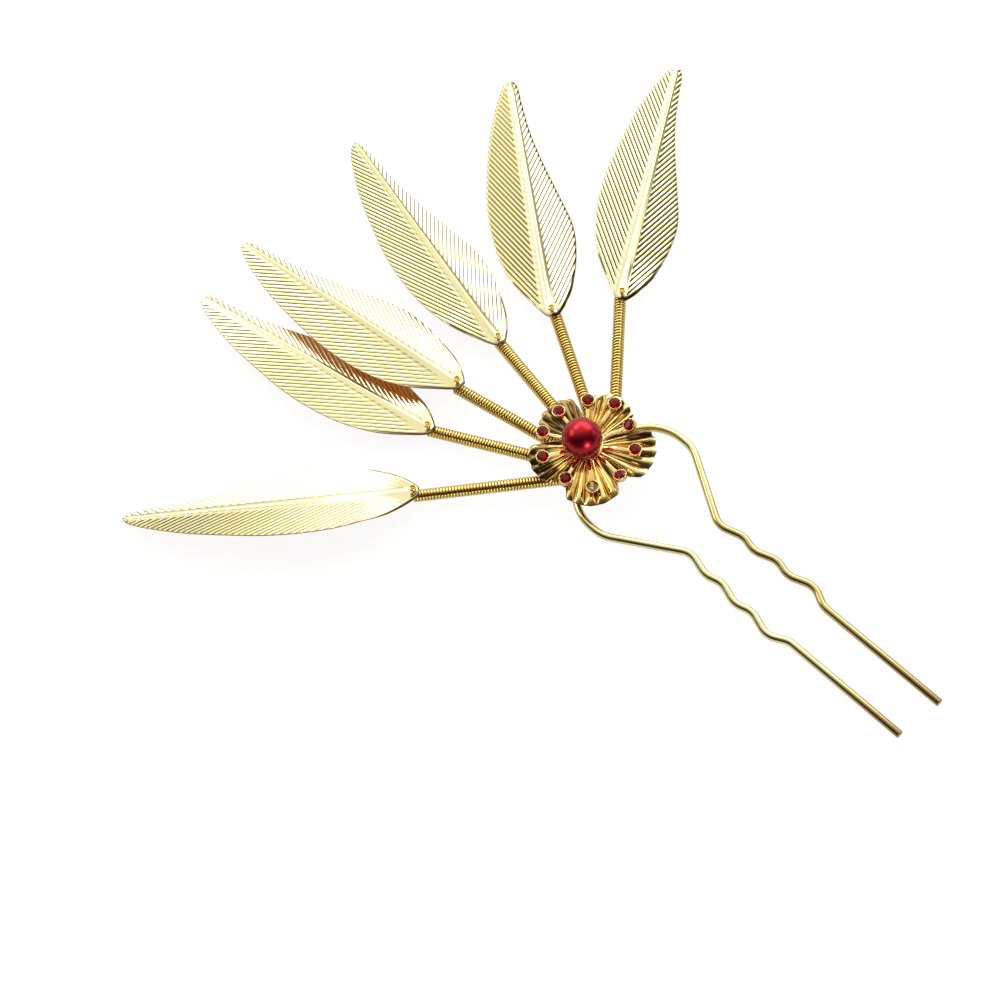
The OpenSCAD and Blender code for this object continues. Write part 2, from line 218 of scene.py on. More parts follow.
# %% [markdown]
# Polished gold shows what stands round it. Six soft panels give the white and
# yellow bands on the leaves, and the darker near side of the room gives the
# olive lines between the flutes. The floor is plain and pale. The camera sees
# it at its full glow and the metal at about half of that.

# %% Floor, panels and room
FLOOR_SIZE = 6.0
FLOOR_GLOW = 0.92
FLOOR_IN_METAL = 0.48
FLOOR_DROP = 0.00005
# Panel: bearing from +X and height in degrees, distance, width and height in metres, brightness
PANELS = [
    (12, 38, 0.9, 0.56, 0.56, 2.0),
    (46, 30, 1.0, 0.46, 0.46, 2.0),
    (77, 42, 0.9, 0.34, 0.26, 4.0),
    (122, 35, 0.9, 0.34, 0.34, 2.6),
    (-31, 18, 0.9, 0.36, 0.30, 1.1),
    (-108, 13, 0.9, 0.28, 0.28, 6.5),
]


def new_material(name):
    material = bpy.data.materials.new(name)
    material.use_nodes = True
    tree = material.node_tree
    return material, tree.nodes, tree.links, tree.nodes["Principled BSDF"]


def set_sockets(node, values):
    for name, value in values.items():
        node.inputs[name].default_value = value


put_away()
bpy.ops.mesh.primitive_plane_add(size=FLOOR_SIZE)
floor = on_the_bench("floor")
floor.location = (0, 0, -FLOOR_DROP)
paper, nodes, links, sheet = new_material("pale_paper")
set_sockets(sheet, {
    "Base Color": (0.15, 0.15, 0.149, 1), "Emission Color": (1, 1, 0.99, 1), "Roughness": 0.9,
})
ray, glow = nodes.new("ShaderNodeLightPath"), nodes.new("ShaderNodeMath")
glow.operation = "MULTIPLY_ADD"
glow.inputs[1].default_value = FLOOR_GLOW - FLOOR_IN_METAL
glow.inputs[2].default_value = FLOOR_IN_METAL
links.new(ray.outputs["Is Camera Ray"], glow.inputs[0])
links.new(glow.outputs[0], sheet.inputs["Emission Strength"])
floor.data.materials.append(paper)

for number, (bearing, height, distance, wide, tall, brightness) in enumerate(PANELS, 1):
    b, h = math.radians(bearing), math.radians(height)
    toward = Vector((math.cos(h) * math.cos(b), math.cos(h) * math.sin(b), math.sin(h)))
    put_away()
    bpy.ops.object.light_add(type="AREA", location=toward * distance)
    panel = bpy.context.object
    panel.name = f"panel_{number}"
    panel.rotation_euler = toward.to_track_quat("Z", "Y").to_euler()
    panel.data.shape = "RECTANGLE"
    panel.data.size = wide
    panel.data.size_y = tall
    panel.data.energy = brightness * math.pi * wide * tall

ROOM_BRIGHT_SIDE = Vector((0.50, 0.62, 0.60)).normalized()
ROOM_STOPS = [(0.0, 0.02), (0.58, 0.05), (0.74, 0.3), (0.84, 0.72), (0.91, 0.95)]
ROOM_BACKDROP = 0.9

world = bpy.context.scene.world or bpy.data.worlds.new("room")
bpy.context.scene.world = world
world.use_nodes = True
nodes, links = world.node_tree.nodes, world.node_tree.links
nodes.clear()
coords = nodes.new("ShaderNodeTexCoord")
side = nodes.new("ShaderNodeVectorMath")
side.operation = "DOT_PRODUCT"
side.inputs[1].default_value = ROOM_BRIGHT_SIDE
half = nodes.new("ShaderNodeMath")
half.operation = "MULTIPLY_ADD"
half.inputs[1].default_value = 0.5
half.inputs[2].default_value = 0.5
ramp = nodes.new("ShaderNodeValToRGB")
while len(ramp.color_ramp.elements) < len(ROOM_STOPS):
    ramp.color_ramp.elements.new(0.5)
for element, (position, light) in zip(ramp.color_ramp.elements, ROOM_STOPS):
    element.position = position
    element.color = (light, light, light, 1)
room = nodes.new("ShaderNodeBackground")
backdrop = nodes.new("ShaderNodeBackground")
backdrop.inputs["Color"].default_value = (ROOM_BACKDROP, ROOM_BACKDROP, ROOM_BACKDROP, 1)
world_ray = nodes.new("ShaderNodeLightPath")
seen = nodes.new("ShaderNodeMixShader")
out = nodes.new("ShaderNodeOutputWorld")
links.new(coords.outputs["Generated"], side.inputs[0])
links.new(side.outputs["Value"], half.inputs[0])
links.new(half.outputs[0], ramp.inputs[0])
links.new(ramp.outputs["Color"], room.inputs["Color"])
links.new(world_ray.outputs["Is Camera Ray"], seen.inputs[0])
links.new(room.outputs[0], seen.inputs[1])
links.new(backdrop.outputs[0], seen.inputs[2])
links.new(seen.outputs[0], out.inputs["Surface"])
bpy.context.scene.view_settings.view_transform = "Standard"

# %% [markdown]
# All the metal is thin gold plate over brass. What sets one piece apart from
# another is the tone of the plate, how much it has been polished, and the haze
# that handling leaves. One node group makes that haze for every piece: slow
# clouds that shift the tone and the roughness, and fine rubbing marks. It also
# paints shade where the points of a piece ask for it: dark painted shade, and a
# paler grey painted shade in the lines of the leaves. The grey tone is also the
# colour of the old cement in the empty cup.

# %% Shared finish: handled plate
CLOUD_SCALE = 120.0
RUB_SCALE = 2500.0
RUB_HEIGHT = 0.000002
# How much rougher the plate is where shade is painted
PAINTED_SHADE_DULL = 0.18


def colour_mix(nodes):
    mix = nodes.new("ShaderNodeMix")
    mix.data_type = "RGBA"
    return mix


def reader(nodes, name):
    attribute = nodes.new("ShaderNodeAttribute")
    attribute.attribute_name = name
    return attribute


def handled_plate():
    group = bpy.data.node_groups.new("handled_plate", "ShaderNodeTree")
    face = group.interface
    for name, kind, value in [
        ("Tone", "NodeSocketColor", (0.8, 0.6, 0.2, 1)),
        ("Deep tone", "NodeSocketColor", (0.5, 0.35, 0.1, 1)),
        ("Painted shade tone", "NodeSocketColor", (0.12, 0.09, 0.03, 1)),
        ("Grey shade and residue tone", "NodeSocketColor", (0.25, 0.21, 0.30, 1)),
        ("Cloud scale", "NodeSocketFloat", CLOUD_SCALE),
        ("Rub scale", "NodeSocketFloat", RUB_SCALE),
        ("Polish", "NodeSocketFloat", 0.1),
        ("Haze", "NodeSocketFloat", 0.1),
    ]:
        socket = face.new_socket(name, in_out="INPUT", socket_type=kind)
        socket.default_value = value
    for name, kind in [
        ("Colour", "NodeSocketColor"),
        ("Roughness", "NodeSocketFloat"),
        ("Height", "NodeSocketFloat"),
    ]:
        face.new_socket(name, in_out="OUTPUT", socket_type=kind)
    nodes, links = group.nodes, group.links
    given, made = nodes.new("NodeGroupInput"), nodes.new("NodeGroupOutput")
    coords = nodes.new("ShaderNodeTexCoord")
    clouds, rubs = nodes.new("ShaderNodeTexNoise"), nodes.new("ShaderNodeTexNoise")
    clouds.inputs["Detail"].default_value = 4
    rubs.inputs["Detail"].default_value = 2
    soft = nodes.new("ShaderNodeMapRange")
    soft.inputs["From Min"].default_value = 0.35
    soft.inputs["From Max"].default_value = 0.7
    tone, shaded, filled = colour_mix(nodes), colour_mix(nodes), colour_mix(nodes)
    painted_shade, grey_shade_and_residue = reader(nodes, "painted_shade"), reader(nodes, "grey_shade_and_residue")
    rough, dull = nodes.new("ShaderNodeMath"), nodes.new("ShaderNodeMath")
    rough.operation = "MULTIPLY_ADD"
    dull.operation = "MULTIPLY_ADD"
    dull.inputs[1].default_value = PAINTED_SHADE_DULL
    links.new(coords.outputs["Object"], clouds.inputs["Vector"])
    links.new(coords.outputs["Object"], rubs.inputs["Vector"])
    links.new(given.outputs["Cloud scale"], clouds.inputs["Scale"])
    links.new(given.outputs["Rub scale"], rubs.inputs["Scale"])
    links.new(clouds.outputs["Fac"], soft.inputs["Value"])
    links.new(soft.outputs["Result"], tone.inputs["Factor"])
    links.new(given.outputs["Tone"], tone.inputs["A"])
    links.new(given.outputs["Deep tone"], tone.inputs["B"])
    links.new(soft.outputs["Result"], rough.inputs[0])
    links.new(given.outputs["Haze"], rough.inputs[1])
    links.new(given.outputs["Polish"], rough.inputs[2])
    # Painted shade darkens the tone, then the grey painted shade or the cement's colour is laid over it
    links.new(painted_shade.outputs["Fac"], shaded.inputs["Factor"])
    links.new(tone.outputs["Result"], shaded.inputs["A"])
    links.new(given.outputs["Painted shade tone"], shaded.inputs["B"])
    links.new(grey_shade_and_residue.outputs["Fac"], filled.inputs["Factor"])
    links.new(shaded.outputs["Result"], filled.inputs["A"])
    links.new(given.outputs["Grey shade and residue tone"], filled.inputs["B"])
    links.new(filled.outputs["Result"], made.inputs["Colour"])
    links.new(painted_shade.outputs["Fac"], dull.inputs[0])
    links.new(rough.outputs[0], dull.inputs[2])
    links.new(dull.outputs[0], made.inputs["Roughness"])
    links.new(rubs.outputs["Fac"], made.inputs["Height"])
    return group


PLATE = handled_plate()


def plate_finish(name, tone, deep, shade_tone, polish, haze, shaded_underside=None):
    material, nodes, links, surface = new_material(name)
    surface.inputs["Metallic"].default_value = 1.0
    plate = nodes.new("ShaderNodeGroup")
    plate.node_tree = PLATE
    set_sockets(plate, {
        "Tone": (*tone, 1), "Deep tone": (*deep, 1), "Painted shade tone": (*shade_tone, 1),
        "Cloud scale": CLOUD_SCALE, "Rub scale": RUB_SCALE, "Polish": polish, "Haze": haze,
    })
    bump = nodes.new("ShaderNodeBump")
    set_sockets(bump, {"Strength": 1.0, "Distance": RUB_HEIGHT})
    colour = plate.outputs["Colour"]
    # The marked back is painted a darker brown, as shade
    if shaded_underside:
        under, turned = reader(nodes, "shaded_underside"), colour_mix(nodes)
        turned.inputs["B"].default_value = (*shaded_underside, 1)
        links.new(under.outputs["Fac"], turned.inputs["Factor"])
        links.new(colour, turned.inputs["A"])
        colour = turned.outputs["Result"]
    links.new(colour, surface.inputs["Base Color"])
    links.new(plate.outputs["Roughness"], surface.inputs["Roughness"])
    links.new(plate.outputs["Height"], bump.inputs["Height"])
    links.new(bump.outputs["Normal"], surface.inputs["Normal"])
    return material


# Tone, deep tone and painted shade tone, then roughness and how much the haze adds to it.
# The back of a leaf is painted a brown shade of its own.
LEAF_GOLD = plate_finish(
    "leaf_gold", (0.95, 0.88, 0.48), (0.93, 0.82, 0.40), (0.06, 0.038, 0.008), 0.09, 0.05,
    shaded_underside=(0.62, 0.2, 0.03),
)
PETAL_GOLD = plate_finish(
    "petal_gold", (0.98, 0.78, 0.36), (0.92, 0.60, 0.18), (0.09, 0.038, 0.01), 0.03, 0.03
)
SPRING_GOLD = plate_finish(
    "spring_gold", (1.0, 0.81, 0.29), (0.96, 0.67, 0.17), (0.55, 0.26, 0.03), 0.08, 0.08
)
PIN_GOLD = plate_finish(
    "pin_gold", (1.0, 0.91, 0.45), (0.95, 0.80, 0.33), (0.36, 0.16, 0.03), 0.09, 0.08
)


def dress(piece, material, slot, *solids):
    piece.data.materials.clear()
    piece.data.materials.append(material)
    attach(piece, "root")
    if solids:
        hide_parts(*solids)
    print(piece.name, "faces", len(piece.data.polygons), "for", ", ".join(solids) or "no solid")


# %% [markdown]
# A wire is bent by hand round pegs on a jig. The same is done here: a ring of
# edges is pushed straight with extrude and carried round a peg with spin, and
# the faces that it leaves behind are the wire. A curve with a bevel would be
# quicker, but the ring shows how each bend has its own centre and radius.

# %% Bending wire
WIRE_WELD = 0.0005


def start_wire(name, radius, sides, at, heading):
    put_away()
    turn = Vector(heading).to_track_quat("Z", "Y").to_euler()
    bpy.ops.mesh.primitive_circle_add(vertices=sides, radius=radius, location=at, rotation=turn)
    wire = on_the_bench(name)
    settle()
    bpy.ops.object.mode_set(mode="EDIT")
    bpy.ops.mesh.select_mode(type="EDGE")
    bpy.ops.mesh.select_all(action="SELECT")
    return wire


def push_wire(step):
    bpy.ops.mesh.extrude_edges_move(TRANSFORM_OT_translate={"value": tuple(step)})


def bend_wire(peg, axis, angle, steps):
    bpy.ops.mesh.spin(steps=steps, angle=angle, center=peg, axis=axis)


def cut_wire(wire, chamfer):
    bpy.ops.mesh.select_all(action="SELECT")
    bpy.ops.mesh.remove_doubles(threshold=WIRE_WELD)
    face_outwards(close_ends=True)
    caps = [p for p in wire.data.polygons if p.loop_total > 4]
    rims = {tuple(sorted(key)) for p in caps for key in p.edge_keys}
    for polygon in wire.data.polygons:
        polygon.select = False
    for edge in wire.data.edges:
        edge.select = tuple(sorted(edge.vertices)) in rims
    bpy.ops.object.mode_set(mode="EDIT")
    bpy.ops.mesh.select_mode(type="EDGE")
    bpy.ops.mesh.bevel(offset=chamfer, segments=3)
    bpy.ops.object.mode_set(mode="OBJECT")
    return len(caps)


# %% [markdown]
# The pin is one wire from tip to tip. It goes up the left leg, round the wide
# arch and down the right leg, and every bend is a corner of the table with a
# radius of its own. Both halves share the table, one of them mirrored.

# %% The pin
PIN_MID = 2.4
PIN_WIRE = 1.8
PIN_Z = 0.905
LEG_X = 5.6
# Corners of one half: distance from the middle, place along the pin, radius
PIN_BENDS = [
    (15, -1.5, 11), (15, -15.9, 8), (4.5, -33, 4.6), (6.35, -39, 4.8), (5.2, -42.9, 4.8),
    (7.1, -48.2, 4.8), (5.8, -52.2, 4.8), (8, -58.2, 4.6), (LEG_X, -62.6, 4.8),
]
LEFT_TIP = -93.6
RIGHT_TIP = -95.1
WIRE_SIDES = 24
TIP_CHAMFER = 0.18
STEP_DEGREES = 5
# Painted shade turns the right leg brown from this far below the flower, over this length
RIGHT_LEG_BROWN = 0.4
BROWN_FROM = 14
BROWN_FADE = 20
END_BROWN = 0.7
END_REACH = 1.6


def brown_at(x, y):
    leg = RIGHT_LEG_BROWN * ease((-y - BROWN_FROM) / BROWN_FADE) * (x > 0)
    tip = RIGHT_TIP if x > 0 else LEFT_TIP
    return max(leg, END_BROWN * ease(END_REACH - y + tip))


left_half = [(-x, y, r) for x, y, r in reversed(PIN_BENDS)]
corners = [(-LEG_X, LEFT_TIP, 0)] + left_half + PIN_BENDS + [(LEG_X, RIGHT_TIP, 0)]
pin = start_wire("pin_wire", PIN_WIRE / 2, WIRE_SIDES, (-LEG_X, LEFT_TIP, 0), (0, 1, 0))
here = Vector((-LEG_X, LEFT_TIP, 0))
for before, corner, after in zip(corners, corners[1:], corners[2:]):
    knee = Vector((corner[0], corner[1], 0))
    u = (Vector((before[0], before[1], 0)) - knee).normalized()
    v = (Vector((after[0], after[1], 0)) - knee).normalized()
    turn = math.pi - u.angle(v)
    start = knee + u * corner[2] * math.tan(turn / 2)
    peg = knee + (u + v).normalized() * corner[2] / math.cos(turn / 2)
    way = -1 if (-u).cross(v).z > 0 else 1
    push_wire(start - here)
    bend_wire(peg, (0, 0, way), turn, max(4, round(math.degrees(turn) / STEP_DEGREES)))
    here = knee + v * corner[2] * math.tan(turn / 2)
push_wire(Vector((LEG_X, RIGHT_TIP, 0)) - here)
caps = cut_wire(pin, TIP_CHAMFER)
smooth_below(pin, 40)
# Painted shade: the right leg is painted browner than the left, and both ends are painted brown
mark(pin, "painted_shade", [brown_at(v.co.x, v.co.y) for v in pin.data.vertices])
set_down(pin, PIN_MID, 0, PIN_Z)
dress(pin, PIN_GOLD, "pin_gold", "u_pin")
print("pin ends closed:", caps, "width mm", round(pin.dimensions.x / MM, 2))

# %% [markdown]
# The six leaves come out of one die. A leaf is thin brass sheet with a sharp
# crest for its midrib and fine flutes that run outwards at thirty degrees.
# A flat grid with its rows laid along the flutes is pressed to that shape. The
# rows follow the flutes, so a few points across each flute are enough for
# a clean crease. The flutes stop short of the crest on the left half, and run
# right up to it on the other.

# %% The leaf's outline
LEAF_LENGTH = 66.2
LEAF_BASE = -1.3
# Place along the midrib, width of the left half, of the right
LEAF_OUTLINE = [
    (-1.3, 1, 1.1), (0, 2.1, 2.3), (3, 4.1, 4.4), (9, 7.7, 6.9), (16, 10, 8.7), (24, 11, 9.2), (33, 10.8, 7),
    (42, 9.4, 4.5), (51, 7.5, 2.6), (59, 4.9, 1.8), (64, 2.7, 1.5), (LEAF_LENGTH, 1.1, 1),
]
LEFT, RIGHT = 1, 2
TIP_ROUND = 1.1
FLUTE_RUN = 1 / math.tan(math.radians(30))


def half_width(s, side):
    table = np.array(LEAF_OUTLINE, float)
    at, wide = table[:, 0], table[:, side]
    last = len(at) - 1
    ahead = np.minimum(last, np.arange(last + 1) + 1)
    behind = np.maximum(0, np.arange(last + 1) - 1)
    slopes = (wide[ahead] - wide[behind]) / (at[ahead] - at[behind])
    k = np.clip(np.searchsorted(at, s, side="right") - 1, 0, last - 1)
    h = at[k + 1] - at[k]
    t = (s - at[k]) / h
    curve = (
        (2 * t**3 - 3 * t**2 + 1) * wide[k] + (t**3 - 2 * t**2 + t) * h * slopes[k]
        + (3 * t**2 - 2 * t**3) * wide[k + 1] + (t**3 - t**2) * h * slopes[k + 1]
    )
    beyond = np.clip((s - (LEAF_LENGTH - TIP_ROUND)) / TIP_ROUND, 0, 1)
    curve = curve * np.sqrt(1 - 0.96 * beyond**2)
    return np.where((s < LEAF_BASE) | (s > LEAF_LENGTH), -1, curve)


def edge_distance(s, w, side):
    along = np.linspace(LEAF_BASE, LEAF_LENGTH, 400)
    line = np.vstack([[LEAF_BASE, 0], np.stack([along, half_width(along, side)], axis=1), [LEAF_LENGTH, 0]])
    step = np.diff(line, axis=0)
    from_start = np.stack([s, w], axis=1)[:, None] - line[:-1]
    share = np.clip((from_start * step).sum(axis=2) / (step**2).sum(axis=1), 0, 1)
    return np.linalg.norm(from_start - share[..., None] * step, axis=2).min(axis=1)


def cross_outline(s0, inner, outer, side):
    for _ in range(40):
        middle = (inner + outer) / 2
        held = half_width(s0 + FLUTE_RUN * middle, side) >= middle
        inner, outer = np.where(held, middle, inner), np.where(held, outer, middle)
    return inner


# %% [markdown]
# The die is cut once, and six different leaves come from it. So each point of
# the die keeps its share of every feature: how far down it lies in a flute, how
# far up the crest, and how dark the painted shade of a line is there. A leaf then
# takes its own amount of each.

# %% The leaf's relief
FLUTE_PITCH = 1.9
# Through one flute: share of the pitch, height in mm
FLUTE_SHAPE = [
    (0.0, -0.20), (0.08, -0.15), (0.17, -0.03), (0.32, -0.005),
    (0.5, 0.0), (0.68, -0.005), (0.83, -0.03), (0.92, -0.15),
]
# How dark the painted shade of a line is: in its middle, how fast it fades sideways, how much it thins
# outwards
LINE_DARK = 1.6
LINE_FADE = 8.8
LINE_THIN = {LEFT: 0.3, RIGHT: 0.0}
TOOTH_LENGTH = 0.9
TOOTH_WIDER = 1.3
CREST_ROUND = 0.12
# Width of the crest's flank at the base and at the tip, for the left and right half
FLANKS = {LEFT: (1.8, 0.7), RIGHT: (1.1, 0.5)}
# Share of that width in which the crest comes down
CREST_FOOT = {LEFT: 0.62, RIGHT: 0.8}
# How far into the field a flute takes to reach its full depth
RUN_IN = {LEFT: 0.9, RIGHT: 0.14}
RIM_CURL = {LEFT: 0.15, RIGHT: 0.4}
RIM_WIDTH = 0.6
RIM_UNTIL = 12.0
# Where a leaf's right edge is rolled down, it is over this width
ROLL_WIDTH = 0.8
# Flutes start at this share of the crest's flank and at this place along the midrib
FLUTE_FROM = 0.92
FLUTE_BASE = -0.3
# A flute fades over this width near the rim, and keeps this share of its depth
RIM_ROOM = 0.8
LEAST_DEPTH = 0.2
# Beads of painted shade on the right edge, where the flutes end: how dark, how fast they fade along it, how
# far they reach in
BEAD_DARK = 2.0
BEAD_FADE = 4.5
BEAD_REACH = 0.7
# How dark the painted shade on the rim is near the base, and the thin painted dark line along the left edge
RIM_DARK = 1.7
EDGE_LINE = 0.8


def flank(s, side):
    wide, narrow = FLANKS[side]
    return wide + (narrow - wide) * np.clip(s / LEAF_LENGTH, 0, 1)


def run_in(w, wide, side):
    return ease((w - wide * FLUTE_FROM) / RUN_IN[side])


def relief(s0, s, w, wide, inside, side):
    shape = np.array(FLUTE_SHAPE + [(1.0, FLUTE_SHAPE[0][1])])
    depth = np.interp((s0 / FLUTE_PITCH) % 1, shape[:, 0], shape[:, 1])
    start = run_in(w, wide, side) * ease((s - FLUTE_BASE) / 2)
    room = ease((inside + 0.5 * (w - wide)) / RIM_ROOM) * (ease(inside / 0.35) if side == LEFT else 1)
    slant = np.sqrt((w / wide / CREST_FOOT[side]) ** 2 + CREST_ROUND**2)
    rise = np.clip(1 - slant + CREST_ROUND / 2, 0, 1)
    roll = np.clip(1 - inside / ROLL_WIDTH, 0, 1) ** 2 * (side == RIGHT)
    return {"flute": depth * start * (LEAST_DEPTH + (1 - LEAST_DEPTH) * room), "crest": rise, "roll": roll}


# Painted shade: dark lines in the flutes with teeth at the crest, the rim, the beads on the right edge and
# the crest's foot
def darkness(s0, s, w, wide, inside, side):
    off = np.abs(s0 / FLUTE_PITCH - np.rint(s0 / FLUTE_PITCH))
    start = run_in(w, wide, side)
    tooth = np.clip(1 - (w - wide) / TOOTH_LENGTH, 0, 1) * (w > wide * 0.93) if side == RIGHT else 0
    thin = LINE_THIN[side] * np.clip((w - wide) / (half_width(s, side) - wide + 1), 0, 1)
    short = 1 - ease(inside / 0.25) if side == LEFT else 0
    line = (LINE_DARK - LINE_FADE * off + TOOTH_WIDER * tooth) - thin - 4 * (1 - start) - 2 * short
    rim = np.clip(RIM_DARK * (1 - inside / RIM_WIDTH), 0, 1) * ease((RIM_UNTIL - s) / 5)
    beads_here = np.clip((BEAD_REACH - inside) / 0.2, 0, 1) * (side == RIGHT)
    bead = np.clip(BEAD_DARK - BEAD_FADE * off, 0, 1) * beads_here
    if side == RIGHT:
        beyond_crest = np.clip((w / wide - 0.5) / 0.2, 0, 1)
        foot = beyond_crest * np.clip((1.15 - w / wide) / 0.15, 0, 1) * (s0 > 0)
    else:
        rim = np.maximum(rim, EDGE_LINE * np.clip((0.22 - inside) / 0.1, 0, 1))
        near_crest = np.clip(1.4 - np.abs(w / wide - 0.86) / 0.14, 0, 1)
        foot = near_crest * np.clip((off - 0.14) / 0.12, 0, 1) * ease(s0 / 6)
    return {"line": line, "rim": rim, "bead": bead, "foot": foot}


# %% [markdown]
# Each half is one grid. Its rows are laid along the flutes, and its columns lie
# close together at the crest and at the rim, where the sheet bends most.

# %% One half of the leaf, row by row
COLUMNS = 23
LEAF_SHEET = 0.3
LEAF_WELD = 0.004
WIDEST = 13.0
# Columns near the crest, in shares of its flank, and near the rim, in mm from it
CREST_COLUMNS = (0, 0.12, 0.4, 0.62, 0.8, 0.92, 1.05, 1.3, 1.6)
RIM_COLUMNS = (1.1, 0.8, 0.5, 0.3, 0.1, 0)


def columns_of(foot, tip, wide):
    near = np.stack([wide * f for f in CREST_COLUMNS])
    rim = np.minimum(1, tip / 3)
    far = np.stack([tip - d * rim for d in RIM_COLUMNS])
    steps = np.linspace(0, 1, COLUMNS + 1 - len(near) - len(far) + 2)[1:-1]
    middle = np.stack([near[-1] + (far[0] - near[-1]) * f for f in steps])
    span = np.concatenate([near, middle, far])
    return foot + span * (tip - foot) / tip


def pressed_half(side):
    s_try = np.linspace(LEAF_BASE, LEAF_LENGTH, 800)
    lowest = s_try - FLUTE_RUN * half_width(s_try, side)
    probe_s = s_try[np.argmin(lowest)]
    counts = np.arange(math.floor(lowest.min() / FLUTE_PITCH), math.ceil(LEAF_LENGTH / FLUTE_PITCH))
    rows = np.array([(count + share) * FLUTE_PITCH for count in counts for share, _ in FLUTE_SHAPE])
    rows = rows[(rows > lowest.min() + 0.05) & (rows < LEAF_LENGTH - 0.15)]
    rows = np.union1d(rows, [LEAF_BASE, LEAF_LENGTH - 0.12])
    probe = np.where(rows < 0, (probe_s - rows) / FLUTE_RUN, 0.02)
    tip = cross_outline(rows, probe, np.full_like(rows, WIDEST), side)
    foot = np.where(rows < LEAF_BASE, cross_outline(rows, probe, np.zeros_like(rows), side), 0)
    tip = np.maximum(tip, foot + 0.02)
    put_away()
    bpy.ops.mesh.primitive_grid_add(x_subdivisions=len(rows) - 1, y_subdivisions=COLUMNS, size=1)
    half_leaf = on_the_bench("half_leaf")
    i, j = grid_places(half_leaf, len(rows) - 1, COLUMNS)
    wide = np.minimum(flank(rows, side), 0.45 * tip)
    w = columns_of(foot, tip, wide)[j, i]
    s = rows[i] + FLUTE_RUN * w
    hand = 1 if side == LEFT else -1
    inside = edge_distance(s, w, side)
    at = (rows[i], s, w, wide[i], inside, side)
    curl = RIM_CURL[side] * np.clip(1 - inside / RIM_WIDTH, 0, 1) ** 2 * ease((RIM_UNTIL - s) / 5)
    move_points(half_leaf, np.stack([s, hand * w, LEAF_SHEET / 2 - curl], axis=1))
    edge = (tip[i] - w < 0.005) | ((foot[i] > 0) & (w - foot[i] < 0.005))
    for name, values in {**relief(*at), **darkness(*at), "wall": 0.9 * edge}.items():
        mark(half_leaf, name, values)
    uv = half_leaf.data.uv_layers.active.data
    corner = np.empty(len(half_leaf.data.loops), int)
    half_leaf.data.loops.foreach_get("vertex_index", corner)
    flat = np.stack([rows[i] / FLUTE_PITCH, w / 10], axis=1)[corner]
    uv.foreach_set("uv", flat.ravel())
    print("half leaf", side, "rows", len(rows), "from", round(rows[0], 2), "widest mm", round(w.max(), 2))
    return half_leaf


# %% [markdown]
# The two halves are welded along the crest. The sheet gets its thickness
# downwards, and its back is marked so that it can be painted a brown shade of its own.

# %% The plain sheet of a leaf
leaf_die = join([pressed_half(LEFT), pressed_half(RIGHT)], "pressed_leaf")
weld(leaf_die, LEAF_WELD)
take(leaf_die)
bpy.ops.object.mode_set(mode="EDIT")
bpy.ops.mesh.select_all(action="SELECT")
bpy.ops.mesh.extrude_region_move(TRANSFORM_OT_translate={"value": (0, 0, -LEAF_SHEET)})
face_outwards()
facing = np.zeros(len(leaf_die.data.vertices))
for polygon in leaf_die.data.polygons:
    facing[list(polygon.vertices)] += np.sign(polygon.normal.z)
mark(leaf_die, "shaded_underside", (facing < 0) * 1.0)
print("sheet of a leaf:", len(leaf_die.data.polygons), "faces")

# %% [markdown]
# Each leaf is struck, then bent a little by hand. No two blows are alike, so
# some leaves have deep flutes and others faint ones, and the right edge of two
# of them is rolled down. Shade is painted in the lines, dark on some halves and a paler grey on others.
# The two halves fold about the crest by their own slopes, and the tip is raised
# or lowered. The fold starts soft at the hole, where the spring's wire holds
# the sheet flat.

# %% Six leaves, each struck and folded its own way
LEAF_HOLE = 0.62
# x, y and z of the hole, bearing of the midrib, rise of the tip, slope of the left and right half
LEAVES = [
    (34.84, 22.5, 3.9, -58.9, 0, 3, -22),
    (20.35, 31.42, 3.9, -37.3, 0.9, -4, -17),
    (6.49, 35.27, 3.9, -13.6, 0.7, 6, -15),
    (-8.55, 33.49, 5.4, 6.4, -1.6, -3, -17),
    (-20.82, 30.92, 3.56, 10, -1.4, 6, -17),
    (-34.51, 21.63, 4.1, 48.3, -1.4, 24, -11),
]
# Depth of the flutes at the base and at the tip, left half and right half.
# Height of the crest at both ends. How far the right edge is rolled down.
STRIKES = [
    (1.0, 1.0, 1.0, 1.0, 0.27, 0.11, 0.06),
    (1.0, 0.9, 0.6, 0.6, 0.42, 0.165, 0.17),
    (0.9, 0.9, 0.6, 0.6, 0.38, 0.15, 0.0),
    (0.4, 0.6, 0.5, 0.6, 0.14, 0.08, 0.0),
    (0.45, 0.65, 0.5, 0.7, 0.14, 0.08, 0.0),
    (0.2, 1.2, 0.1, 0.6, 0.2, 0.1, 0.0),
]
# Painted shade of each half's lines: how much wider than the die's, how dark at the base and at
# the tip, share of it in the paler grey shade. Then the painted shade at the left and the right rim, at the
# beads on the right edge, at the crest's left and right foot.
PAINTED_SHADES = [
    ((0.3, 1.0, 0.9, 0), (0.6, 1.0, 0.9, 0), (0.0, 1.0, 0.8, 0.0, 0.2)),
    ((0.25, 1.0, 0.5, 0), (0.2, 0.9, 0.9, 0.9), (0.0, 1.0, 1.0, 0.0, 0.7)),
    ((0.15, 0.85, 0.8, 0), (0.2, 0.85, 0.8, 0.9), (0.4, 0.6, 0.2, 0.45, 0.85)),
    ((-0.1, 0.5, 0.7, 0), (0.1, 0.5, 0.7, 0.9), (0.7, 0.6, 0.0, 0.7, 0.7)),
    ((-0.1, 0.5, 0.7, 0), (0.1, 0.3, 0.6, 0.9), (0.8, 0.9, 0.0, 0.7, 0.7)),
    ((0.15, 0.15, 1.0, 0), (0.0, 0.05, 0.6, 0.7), (1.0, 0.6, 0.0, 0.5, 0.7)),
]
FOLD_AT_HOLE = 0.25
FOLD_FULL_AT = 12.0


def read_values(leaf, name):
    values = np.empty(len(leaf.data.vertices))
    leaf.data.attributes[name].data.foreach_get("value", values)
    return values


def share_along(s):
    return np.clip(s / LEAF_LENGTH, 0, 1)
